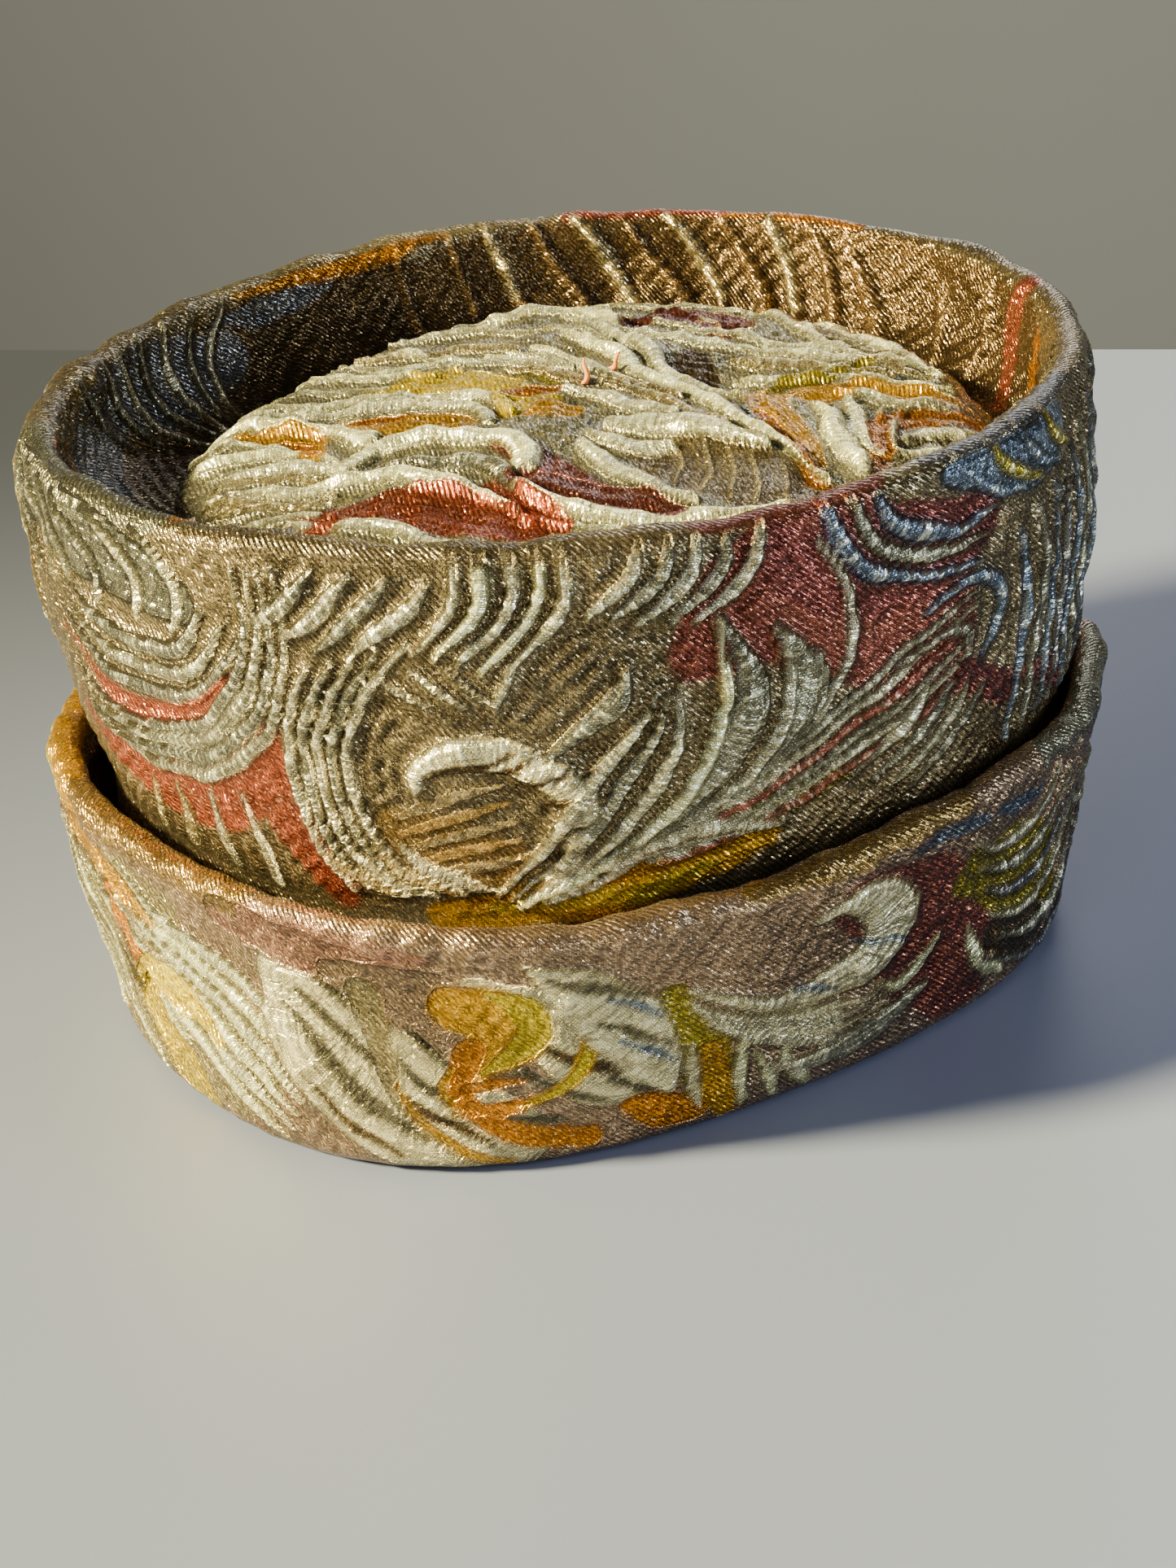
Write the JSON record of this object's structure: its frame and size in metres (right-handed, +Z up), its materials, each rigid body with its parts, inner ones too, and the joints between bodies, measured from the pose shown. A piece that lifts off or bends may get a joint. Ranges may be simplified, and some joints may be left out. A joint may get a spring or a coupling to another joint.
{
  "type": "pillbox hat",
  "caption": "Oval pillbox hat in padded brocade, with a turned-up cuff, a tall side band with a rolled rim and a sunken domed crown tip over an open head hollow.",
  "frame": {"origin": "on the surface that the hat rests on, under the centre of its box", "axes": "+Z up through the crown; +Y to the back of the head, along the oval's long axis; +X to the wearer's left"},
  "size_m": [0.1884, 0.2132, 0.1198],
  "materials": {
    "cuff_cloth": "metallic brocade, silver and gold figure on taupe",
    "band_cloth": "metallic brocade, silver figure on bronze-brown with rose and coral",
    "tip_cloth": "puffed metallic brocade, champagne silver with gold and coral"
  },
  "bodies": {
    "root": {"cuff": "cuff_cloth", "side_band": "band_cloth", "crown_tip": "tip_cloth"}
  },
  "joints": []
}
